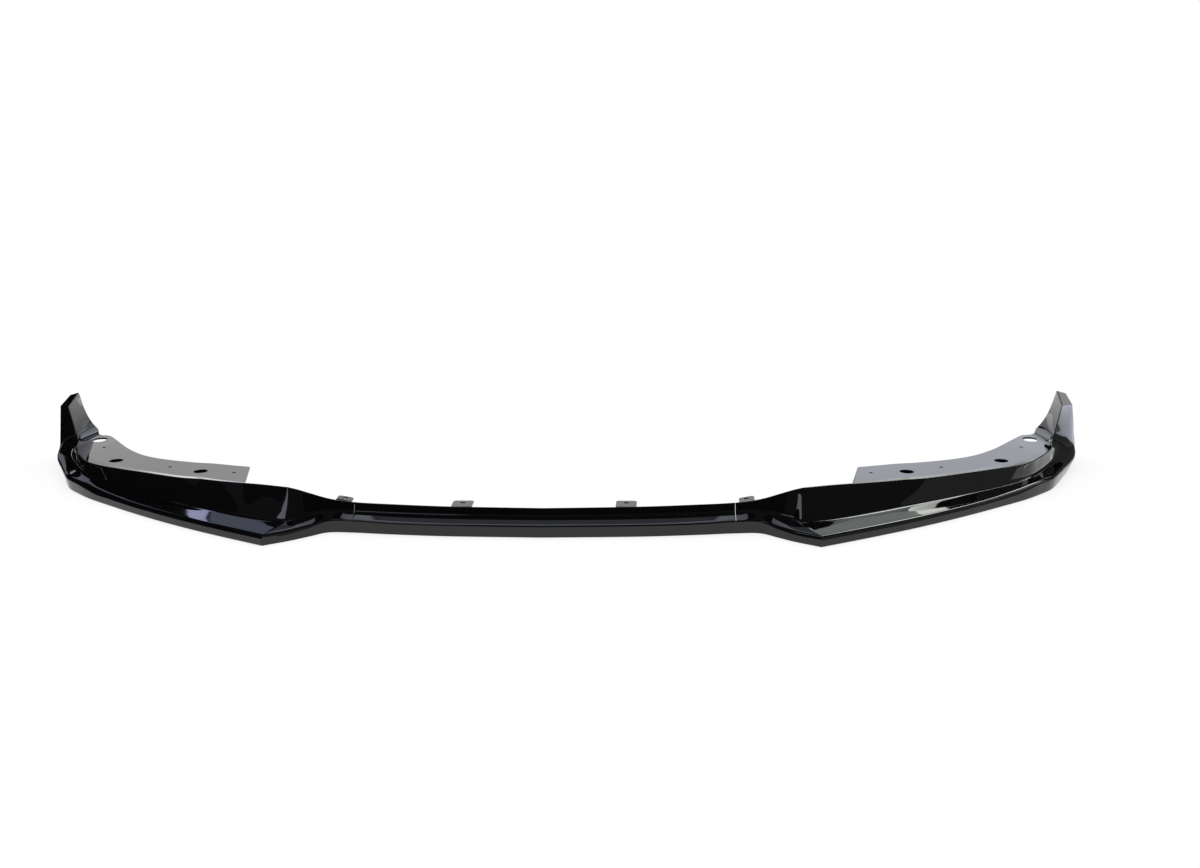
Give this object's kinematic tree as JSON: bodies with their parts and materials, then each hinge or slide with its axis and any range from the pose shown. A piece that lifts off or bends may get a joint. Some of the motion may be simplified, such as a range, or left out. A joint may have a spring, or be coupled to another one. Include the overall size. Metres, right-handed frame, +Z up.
{
  "type": "front splitter lip",
  "caption": "Low front splitter lip for a car bumper: slim centre section, pointed wings with a ledge, a punched mounting flange and an upright fin at each rear end.",
  "frame": {"origin": "middle of the bounding box at the underside", "axes": "+X across the car towards the right wing, -Y towards the front, +Z up"},
  "size_m": [1.8096, 0.5198, 0.1208],
  "materials": {
    "gloss_black": "high gloss",
    "black_steel": "satin",
    "plain_steel": "satin"
  },
  "bodies": {
    "root": {"centre_section": "gloss_black", "left_wing": "gloss_black", "right_wing": "gloss_black", "joint_screws": "black_steel", "joint_nuts": "plain_steel"}
  },
  "joints": []
}
